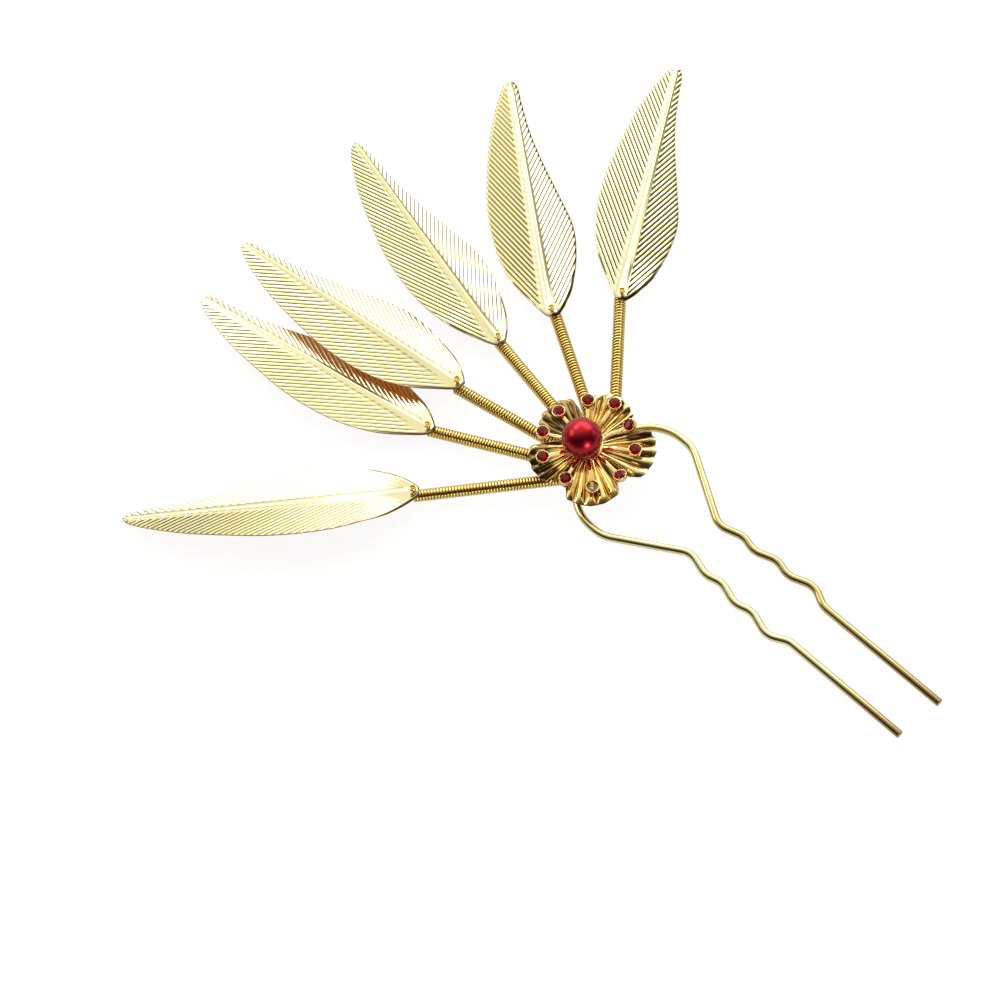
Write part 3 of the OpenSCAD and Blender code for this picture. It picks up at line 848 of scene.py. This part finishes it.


# Paints the shade of a leaf: its lines, the grey share of them, the rim, beads, crest foot and cut edge
def paint_leaf_shade(leaf, left_lines, right_lines, spots):
    s, across, _ = points_of(leaf).T
    left = across > 0
    wider, base, tip, share = np.where(left[:, None], left_lines, right_lines).T
    left_rim, right_rim, beads, left_foot, right_foot = spots
    darkest = base + (tip - base) * share_along(s)
    lines = np.clip(read_values(leaf, "line") + wider, 0, 1) * darkest
    spotted = np.maximum.reduce([
        read_values(leaf, "rim") * np.where(left, left_rim, right_rim),
        read_values(leaf, "bead") * beads,
        read_values(leaf, "foot") * np.where(left, left_foot, right_foot),
        read_values(leaf, "wall"),
    ])
    mark(leaf, "painted_shade", np.maximum(spotted, lines * (1 - share)))
    mark(leaf, "grey_shade_and_residue", lines * share * (1 - spotted))


def strike(leaf, left_base, left_tip, right_base, right_tip, crest_base, crest_tip, roll):
    s, across, z = points_of(leaf).T
    along = share_along(s)
    base = np.where(across > 0, left_base, right_base)
    tip = np.where(across > 0, left_tip, right_tip)
    flutes = read_values(leaf, "flute") * (base + (tip - base) * along)
    crest = read_values(leaf, "crest") * (crest_base + (crest_tip - crest_base) * along)
    z = z + flutes + crest - roll * read_values(leaf, "roll")
    move_points(leaf, np.stack([s, across, z], axis=1))


def fold(leaf, rise, left, right):
    s, across, z = points_of(leaf).T
    share = FOLD_AT_HOLE + (1 - FOLD_AT_HOLE) * ease(s / FOLD_FULL_AT)
    slope = np.radians(np.where(across > 0, left, right)) * share
    lifted = np.abs(across) * np.sin(slope) + z + rise * share_along(s) ** 2
    move_points(leaf, np.stack([s, across * np.cos(slope), lifted], axis=1))


put_away()
bpy.ops.mesh.primitive_cylinder_add(vertices=24, radius=LEAF_HOLE, depth=4)
punch = on_the_bench("punch")
for number, (row, blow, shades) in enumerate(zip(LEAVES, STRIKES, PAINTED_SHADES), 1):
    x, y, z, bearing, rise, left_slope, right_slope = row
    leaf = another(leaf_die, f"leaf_sheet_{number}")
    paint_leaf_shade(leaf, *shades)
    strike(leaf, *blow)
    fold(leaf, rise, left_slope, right_slope)
    for name in ("flute", "crest", "roll", "line", "rim", "bead", "foot", "wall"):
        leaf.data.attributes.remove(leaf.data.attributes[name])
    fix(leaf, "BOOLEAN", operation="DIFFERENCE", object=punch, solver="MANIFOLD")
    smooth_below(leaf, 38)
    set_down(leaf, x, y, z, Matrix.Rotation(math.radians(bearing + 90), 4, "Z"))
    dress(leaf, LEAF_GOLD, "leaf_gold", f"leaf_{number}")
clear_away(leaf_die, punch)

# %% [markdown]
# The leaves tremble because each stands on a coil of thin wire. One round of
# wire is enough to draw: the Screw modifier carries it along and winds it as
# a lathe winds wire round a mandrel. Shade is painted on it deep between the turns. The
# end of the wire comes up through the leaf's hole and closes in a small ring
# on top, which holds the leaf. A short peg and a ring stand for that end, and the peg
# and the inside of the ring are painted brown as shade. Both
# come out 0.99 mm too high and so hang free, because the peg is joined before
# its location is settled.

# %% Six springs
COIL_OUTER = 2.9
SPRING_WIRE = 0.68
COIL_SIDES = 12
# Painted shade darkens the wire from this depth below the coil's outside, over this much
GAP_FROM = 0.08
GAP_FADE = 0.14
COIL_STEPS = 20
COIL_ROOT_Z = 4.14
COIL_PAST_HOLE = 0.6
# x and y of the start, bearing from +Y, distance between the turns
SPRINGS = [
    (7.43, -0.76, -48.9, 0.8), (5.27, 3.9, -30.2, 0.76), (1.13, 7.04, -11.2, 0.69),
    (-3.87, 4.67, 10.2, 0.73), (-7.72, 3.93, 25.2, 0.7), (-8.98, -1.22, 48.6, 0.71),
]
SHEET_UNDER = 0.585
EYELET_RING = 0.62
EYELET_WIRE = 0.5
EYELET_LIFT = 0.72
EYELET_SHADE = 0.75
PEG_EDGE = 0.12


def wind(name, length, pitch):
    turns = round(length / pitch)
    put_away()
    ring_at = (COIL_OUTER - SPRING_WIRE) / 2
    bpy.ops.mesh.primitive_circle_add(
        vertices=COIL_SIDES, radius=SPRING_WIRE / 2 * 0.98, location=(ring_at, 0, SPRING_WIRE / 2),
        rotation=(math.pi / 2, 0, 0),
    )
    coil = on_the_bench(name)
    settle()
    fix(
        coil, "SCREW", axis="Z", angle=math.tau, screw_offset=(length - SPRING_WIRE) / turns,
        iterations=turns, steps=COIL_STEPS, render_steps=COIL_STEPS, use_merge_vertices=False,
    )
    bpy.ops.object.mode_set(mode="EDIT")
    face_outwards(close_ends=True)
    gap_r = COIL_OUTER / 2 - GAP_FROM
    mark(coil, "painted_shade", [min(1, max(0, (gap_r - v.co.xy.length) / GAP_FADE)) for v in coil.data.vertices])
    return coil, turns


def eyelet(name, stem):
    put_away()
    bpy.ops.mesh.primitive_cylinder_add(
        vertices=16, radius=EYELET_WIRE / 2 + PEG_EDGE, depth=stem, location=(0, 0, -stem / 2)
    )
    peg = on_the_bench("peg")
    soften(peg, PEG_EDGE, 3, 40)
    put_away()
    bpy.ops.mesh.primitive_torus_add(
        major_segments=32, minor_segments=12, major_radius=EYELET_RING, minor_radius=EYELET_WIRE / 2
    )
    loop = on_the_bench("loop")
    # Painted shade: the peg and the inside of the ring are painted brown
    for piece in (peg, loop):
        inner = [v.co.xy.length < EYELET_RING for v in piece.data.vertices]
        mark(piece, "painted_shade", EYELET_SHADE * np.array(inner))
    return join([peg, loop], name)


for number, ((x, y, bearing, pitch), leaf) in enumerate(zip(SPRINGS, LEAVES), 1):
    heading = Vector((-math.sin(math.radians(bearing)), math.cos(math.radians(bearing)), 0))
    hole = Vector((leaf[0], leaf[1], leaf[2]))
    end_z = hole.z - SHEET_UNDER - COIL_OUTER / 2
    reach = (hole - Vector((x, y, 0))).dot(heading)
    tilt = math.atan2(end_z - COIL_ROOT_Z, reach)
    coil, turns = wind(f"spring_coil_{number}", (reach + COIL_PAST_HOLE) / math.cos(tilt), pitch)
    smooth_below(coil, 60)
    lay = Matrix.Rotation(math.radians(bearing), 4, "Z") @ Matrix.Rotation(tilt - math.pi / 2, 4, "X")
    set_down(coil, x, y, COIL_ROOT_Z, lay)
    eye = eyelet(f"spring_eyelet_{number}", EYELET_LIFT + SHEET_UNDER + SPRING_WIRE)
    smooth_below(eye, 60)
    along_leaf = Matrix.Rotation(math.radians(leaf[3] - 90), 4, "Z")
    set_down(eye, hole.x, hole.y, hole.z + EYELET_LIFT, along_leaf)
    spring = join([coil, eye], f"coil_spring_{number}")
    dress(spring, SPRING_GOLD, "spring_gold", f"spring_{number}")
    print("  turns", turns, "tilt", round(math.degrees(tilt), 1))

# %% [markdown]
# The flower is one disc of sheet, slit into five petals and then pleated. The
# pleats run out from the middle to the rim and lose more than half of their
# height there. The rim is rolled under. A grid is wrapped round the centre and
# pressed to that form. Its seam is welded, and only then does it get a wall.

# %% The pleated flower
FLOWER_AT = (-0.5, 0.1)
FLOWER_Z = 6.2
FLOWER_HOLE = 2.1
FLOWER_DISC = 4.0
PETAL_SHEET = 0.4
# Bearing of the petal, reach, height of its rim, half of its width in degrees, shift of its pleats,
# share of their full height
PETALS = [
    (-130.5, 14.8, 6.1, 29.5, 0.1, 1), (-57.5, 15.6, 7.7, 28, -0.12, 1), (11.5, 13.5, 7.8, 28, 0.08, 1),
    (83.5, 13, 6.8, 27.5, 0.0, 0.45), (157, 13.5, 6.6, 27.5, -0.1, 1),
]
# Patch of painted dark reflection: petal, middle and half width across, from here outwards, strength
DARK_REFLECTION_PATCHES = [
    (3, 0, 1.1, 0.1, 0.8), (4, 0.1, 0.9, 0.45, 0.8), (1, 0.65, 0.4, 0.4, 0.8),
    (0, 0.25, 0.3, 0.86, 0.6), (2, -0.9, 0.3, 0.2, 0.6),
]
PLEATS = 5
PLEAT_HEIGHT = 1.0
NOTCH_R = 6.4
PETAL_PART = 0.88
PETAL_COLUMNS = 80
SLOT_COLUMNS = 2
RINGS = 26
RIM_ROLL = 0.2
# Share of the pleats' height that is lost at the rim
PLEAT_LOSS = 0.6
# A petal's corners are cut back from this share of its width, by this much
CORNER_FROM = 0.78
CORNER_CUT = 1.5
SCALLOP = 0.13
FLOWER_WELD = 0.001

shares = np.concatenate([
    np.linspace(-1, -PETAL_PART, SLOT_COLUMNS + 1)[:-1],
    np.linspace(-PETAL_PART, PETAL_PART, PETAL_COLUMNS + 1),
    np.linspace(PETAL_PART, 1, SLOT_COLUMNS + 1)[1:-1],
])
petal_table = np.array(PETALS)
petal_count = len(PETALS)


def flower_form(petal, share, ring):
    bearing, reach, rim_z, half, shift, height = petal_table[petal].T
    side = np.where(share < 0, -1, 1)
    next_bearing, _, next_rim_z, next_half, _, _ = petal_table[(petal + side) % petal_count].T
    gap = (side * (next_bearing - bearing)) % 360
    middle = (gap + half - next_half) / 2
    v = np.abs(share) / PETAL_PART
    across = np.minimum(v, 1)
    slot = np.clip((np.abs(share) - PETAL_PART) / (1 - PETAL_PART), 0, 1)
    turn = side * np.where(slot > 0, half + (middle - half) * slot, half * across)
    angle = np.radians(bearing + turn)
    phase = np.pi * PLEATS * (np.sign(share) * across + shift * (1 - across**2))
    pleat = (2 * np.abs(np.cos(phase / 2)) ** 0.9 - 1) * height
    corner = ease((v - CORNER_FROM) / (1 - CORNER_FROM)) ** 1.5
    rim_r = reach * (1 - 0.1 * across**2) - CORNER_CUT * corner + SCALLOP * np.cos(phase)
    rim_r = rim_r + (NOTCH_R - rim_r) * slot
    r = np.where(ring < 0, FLOWER_HOLE, FLOWER_DISC + (rim_r - FLOWER_DISC) * np.maximum(ring, 0))
    rise = (np.maximum(0, r - FLOWER_DISC) / (reach - FLOWER_DISC)) ** 2
    lean = np.where(slot > 0, 0.35 + 0.15 * slot, 0.35 * ease(np.abs(share)))
    rim = rim_z * (1 - lean) + next_rim_z * lean
    swell = ease((r - FLOWER_DISC + 1) / 4)
    die_away = 1 - PLEAT_LOSS * ease((ring - 0.86) / 0.14)
    z = FLOWER_Z + (rim - FLOWER_Z) * rise + PLEAT_HEIGHT / 2 * pleat * swell * die_away * (1 - slot)
    z = z - RIM_ROLL * np.clip((ring - 0.88) / 0.12, 0, 1) ** 2 - 0.15 * across**4 * rise
    # Painted shade in the pleat valleys, and painted dark reflection in the patches
    dark = 0.95 * np.clip(0.15 - pleat, 0, 1) * swell * die_away
    for where, at, spread, out_from, strength in DARK_REFLECTION_PATCHES:
        patch = ease((spread - np.abs(share - at)) / 0.3) * ease((ring - out_from) / 0.15)
        dark = np.maximum(dark, strength * patch * (petal == where) * (1 - slot))
    return np.stack([r * np.cos(angle), r * np.sin(angle), z], axis=1), dark


ring_steps = np.concatenate([[-1, 0], np.linspace(0, 1, RINGS + 1)[1:] ** 0.85])
columns = petal_count * len(shares)
put_away()
bpy.ops.mesh.primitive_grid_add(x_subdivisions=columns, y_subdivisions=len(ring_steps) - 1, size=1)
flower = on_the_bench("pleated_flower")
i, j = grid_places(flower, columns, len(ring_steps) - 1)
i = i % columns
form, dark = flower_form(i // len(shares), shares[i % len(shares)], ring_steps[j])
move_points(flower, form)
mark(flower, "painted_shade", dark)
weld(flower, FLOWER_WELD)
take(flower)
if sum(p.normal.z * p.area for p in flower.data.polygons) < 0:
    bpy.ops.object.mode_set(mode="EDIT")
    bpy.ops.mesh.flip_normals()
    bpy.ops.object.mode_set(mode="OBJECT")
fix(flower, "SOLIDIFY", thickness=PETAL_SHEET, offset=0, use_rim=True)
soften(flower, 0.08, 2, 50)
smooth_below(flower, 40)
set_down(flower, FLOWER_AT[0], FLOWER_AT[1], 0)
dress(flower, PETAL_GOLD, "petal_gold", "flower")

# %% [markdown]
# Ten arms leave a flat ring under the pearl and rise over the pleats, and each
# ends in a cup. One cup is turned and copied. Its place, its height and its
# lean are in the table, and the last column says whether it still has its
# stone. Four claws hold each stone. Cup number six has lost its own and has no
# claws, and a bit of old cement is left in it.

# %% Ring, arms and cups
# Bearing, reach, height of the girdle, lean, 1 where a stone is left
STAMENS = [
    (42.4, 10.6, 8.5, 0, 1), (10, 11.3, 8.9, 0, 1), (-23.5, 10.2, 8.8, -35, 1), (-58.1, 11, 8.8, 0, 1),
    (-95.4, 11.1, 8.6, -20, 1), (-130.1, 11, 8, 0, 0), (-164.5, 10.1, 8.2, 0, 1), (153.5, 10.5, 8.4, 0, 1),
    (118.5, 10.3, 8.5, 0, 1), (82.8, 10.1, 8.6, 10, 1),
]
RING_OUT = 3.6
RING_HOLE = 2.2
RING_T = 0.4
SOLDER_GAP = 0.08
RING_MID_Z = FLOWER_Z + PETAL_SHEET / 2 + SOLDER_GAP + RING_T / 2
ARM_WIDTH = 0.85
ARM_THICK = 0.3
ARM_LIFT = 0.9
STONE_R = 1.3
CUP_R = 1.55
CUP_INNER = 1.38
CUP_UNDER = 0.92
CUP_OVER = 0.1
SEAT_DEPTH = 0.6
SEAT_STEP = 0.35
SEAT_SINK = 0.12
SEAT_DARK = 0.8
CLAW = (0.34, 0.2, 0.42)
CLAW_LEAN = -52
CLAW_INSET = 0.22
CEMENT = (0.62, 0.45, 0.16)
CEMENT_AT = (0.2, -0.25, -SEAT_DEPTH - 0.06)
CEMENT_PALE = 0.8
CEMENT_LUMPS = 0.18


def stamen_place(bearing, reach, z, lean):
    return (
        Matrix.Rotation(math.radians(bearing), 4, "Z") @ Matrix.Translation((reach, 0, z))
        @ Matrix.Rotation(math.radians(lean), 4, "Y")
    )


def turned_cup():
    put_away()
    depth = CUP_UNDER + CUP_OVER
    bpy.ops.mesh.primitive_cylinder_add(
        vertices=32, radius=CUP_R, depth=depth, location=(0, 0, CUP_OVER - depth / 2)
    )
    cup = on_the_bench("cup")
    settle()
    pick_faces(cup, lambda face: face.normal.z > 0.9)
    bpy.ops.mesh.inset(thickness=CUP_R - CUP_INNER)
    bpy.ops.mesh.extrude_region_move(TRANSFORM_OT_translate={"value": (0, 0, -SEAT_DEPTH - CUP_OVER)})
    bpy.ops.mesh.inset(thickness=SEAT_STEP)
    bpy.ops.transform.translate(value=(0, 0, -SEAT_SINK))
    bpy.ops.object.mode_set(mode="OBJECT")
    soften(cup, 0.06, 2, 40)
    # The seat inside the cup is painted dark, as shade
    within = CUP_INNER - 0.05
    above = -CUP_UNDER + 0.1
    seat = [v.co.xy.length < within and v.co.z > above for v in cup.data.vertices]
    mark(cup, "painted_shade", SEAT_DARK * np.array(seat))
    return cup


def claw(turn):
    put_away()
    bpy.ops.mesh.primitive_cube_add(size=1, location=(0, 0, 0))
    piece = on_the_bench("claw")
    piece.scale = CLAW
    settle()
    fix(piece, "BEVEL", width=0.09, segments=3)
    place = (
        Matrix.Rotation(math.radians(turn), 4, "Z")
        @ Matrix.Translation((CUP_R - CLAW_INSET, 0, CUP_OVER + 0.02))
        @ Matrix.Rotation(math.radians(CLAW_LEAN), 4, "Y") @ Matrix.Rotation(math.radians(90), 4, "Z")
    )
    return put_at(piece, place)


def old_cement():
    put_away()
    bpy.ops.mesh.primitive_uv_sphere_add(segments=24, ring_count=12, radius=1)
    piece = on_the_bench("old_cement")
    put_at(piece, Matrix.Translation(CEMENT_AT) @ Matrix.Diagonal((*CEMENT, 1)))
    for vertex in piece.data.vertices:
        vertex.co.xy *= 1 + CEMENT_LUMPS * math.sin(3 * math.atan2(vertex.co.y, vertex.co.x) + 1)
    mark(piece, "grey_shade_and_residue", [CEMENT_PALE] * len(piece.data.vertices))
    return piece


def arm(reach, z):
    foot = RING_MID_Z
    top = foot + ARM_LIFT
    seat_z = z - SEAT_DEPTH
    # Distance from the middle and height of each bend of the arm
    route = [
        (RING_OUT - 0.5, foot), (RING_OUT + 0.4, foot), (RING_OUT + 1.2, foot + 0.22), (RING_OUT + 2.4, top),
        (RING_OUT + 3.4, top + 0.2 * (seat_z - top)), (reach - 0.2, seat_z - 0.2),
    ]
    start_r, start_z = route[0]
    put_away()
    bpy.ops.mesh.primitive_plane_add(size=1, rotation=(0, math.pi / 2, 0), location=(start_r, 0, start_z))
    bar = on_the_bench("arm")
    bar.scale = (ARM_THICK, ARM_WIDTH, 1)
    settle()
    bpy.ops.object.mode_set(mode="EDIT")
    bpy.ops.mesh.select_all(action="SELECT")
    for (r0, z0), (r1, z1) in zip(route, route[1:]):
        bpy.ops.mesh.extrude_region_move(TRANSFORM_OT_translate={"value": (r1 - r0, 0, z1 - z0)})
    face_outwards(close_ends=True)
    soften(bar, 0.1, 3, 50)
    return bar


put_away()
bpy.ops.mesh.primitive_circle_add(vertices=64, radius=RING_OUT, location=(0, 0, RING_MID_Z))
hub = on_the_bench("hub")
bpy.ops.object.mode_set(mode="EDIT")
bpy.ops.mesh.select_all(action="SELECT")
bpy.ops.mesh.extrude_edges_move()
bpy.ops.transform.resize(value=(RING_HOLE / RING_OUT,) * 2 + (1,))
face_outwards()
settle()
fix(hub, "SOLIDIFY", thickness=RING_T, offset=0)
soften(hub, 0.08, 2, 50)

cup_die = turned_cup()
claws = join([claw(turn) for turn in (45, 135, 225, 315)], "claws")
parts = [hub]
for number, (bearing, reach, z, lean, kept) in enumerate(STAMENS, 1):
    filling = another(claws, "claws_here") if kept else old_cement()
    cup = join([another(cup_die, f"cup_{number}"), filling], f"cup_{number}")
    parts.append(put_at(cup, stamen_place(bearing, reach, z, lean)))
    parts.append(put_at(arm(reach, z), Matrix.Rotation(math.radians(bearing), 4, "Z")))
clear_away(cup_die, claws)
stamens = join(parts, "stamen_ring")
smooth_below(stamens, 40)
set_down(stamens, FLOWER_AT[0], FLOWER_AT[1], 0)
dress(stamens, PETAL_GOLD, "petal_gold", "stamens")

# %% [markdown]
# A stone starts as a round blank, and a cutter grinds flats on it: a table on
# top, eight slanted facets round the crown with eight small ones between them,
# and eight more below that meet in a point. Bisect does the grinding here. Each
# cut is a plane, the part outside it is cleared, and the cut is filled with a
# flat face.

# %% Nine cut stones
STONE_SIDES = 8
TABLE_Z = 0.42
# Angle, then distance from the middle and height of each facet, in radii of the stone
CROWN = (36, 1, 0.06)
LOWER = (34, 1, -0.06)
STAR = (21, 0.62, 0.36)


def cut_stone():
    put_away()
    bpy.ops.mesh.primitive_cylinder_add(vertices=48, radius=STONE_R, depth=3 * STONE_R)
    stone = on_the_bench("cut_stone")
    bpy.ops.object.mode_set(mode="EDIT")

    def grind(point, normal):
        bpy.ops.mesh.select_all(action="SELECT")
        bpy.ops.mesh.bisect(plane_co=point, plane_no=normal, use_fill=True, clear_outer=True)

    def grind_facet(turn, facet, way=1):
        degrees, r, z = facet
        lean = math.radians(degrees)
        outwards = Vector((math.cos(turn), math.sin(turn), 0))
        upwards = Vector((0, 0, 1))
        point = (outwards * r + upwards * z) * STONE_R
        grind(point, outwards * math.sin(lean) + upwards * way * math.cos(lean))

    grind((0, 0, TABLE_Z * STONE_R), (0, 0, 1))
    for k in range(STONE_SIDES):
        turn = math.tau * k / STONE_SIDES
        grind_facet(turn, CROWN)
        grind_facet(turn, LOWER, way=-1)
    for k in range(STONE_SIDES):
        grind_facet(math.tau * (k + 0.5) / STONE_SIDES, STAR)
    bpy.ops.object.mode_set(mode="OBJECT")
    print("stone facets:", len(stone.data.polygons), "height mm", round(stone.dimensions.z, 2))
    return stone


GARNET, _, _, garnet = new_material("garnet_glass")
set_sockets(garnet, {
    "Base Color": (0.42, 0.002, 0.006, 1), "Roughness": 0.03, "IOR": 1.45,
    "Specular IOR Level": 0.2, "Transmission Weight": 0.7,
})

stone_die = cut_stone()
for number, (bearing, reach, z, lean, kept) in enumerate(STAMENS, 1):
    if kept:
        stone = put_at(another(stone_die, f"garnet_{number}"), stamen_place(bearing, reach, z, lean))
        set_down(stone, FLOWER_AT[0], FLOWER_AT[1], 0)
        dress(stone, GARNET, "garnet", f"stone_{number}")
clear_away(stone_die)

# %% [markdown]
# The pearl is a drilled bead with lacquer over a satin ground. The satin gives
# the wide red glow and the lacquer the smaller, brighter spots on top of it.

# %% The pearl
PEARL_D = 9.2
PEARL_Z = 10.999
PEG_AT = (-1.45, 0.65)
DRILL_R = 0.78
DRILL_DEPTH = 1.5

put_away()
bpy.ops.mesh.primitive_uv_sphere_add(segments=72, ring_count=48, radius=PEARL_D / 2)
pearl = on_the_bench("red_pearl")
pick_faces(pearl, lambda face: face.center.z < 0 and face.center.xy.length < DRILL_R)
bpy.ops.mesh.dissolve_faces()
bpy.ops.mesh.extrude_region_move(TRANSFORM_OT_translate={"value": (0, 0, DRILL_DEPTH)})
bpy.ops.object.mode_set(mode="OBJECT")
smooth_below(pearl, 40)
set_down(pearl, PEG_AT[0], PEG_AT[1], PEARL_Z)

LACQUER, nodes, links, lacquer = new_material("pearl_lacquer")
set_sockets(lacquer, {
    "Metallic": 0.95, "Roughness": 0.35, "Coat Weight": 0.5, "Coat Roughness": 0.2,
})
coords, clouds = nodes.new("ShaderNodeTexCoord"), nodes.new("ShaderNodeTexNoise")
clouds.inputs["Scale"].default_value = 260
shell = colour_mix(nodes)
set_sockets(shell, {"A": (0.42, 0.002, 0.010, 1), "B": (0.50, 0.003, 0.016, 1)})
links.new(coords.outputs["Object"], clouds.inputs["Vector"])
links.new(clouds.outputs["Fac"], shell.inputs["Factor"])
links.new(shell.outputs["Result"], lacquer.inputs["Base Color"])
dress(pearl, LACQUER, "red_pearl", "pearl")

# %% [markdown]
# The plate and the peg under the flower stay as the frame gives them, because
# their plain shapes are right. They only take the pin's finish.

# %% The hidden plate and peg
for name in ("back_plate", "centre_peg"):
    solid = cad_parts[name]
    solid.data.materials.clear()
    solid.data.materials.append(PIN_GOLD)
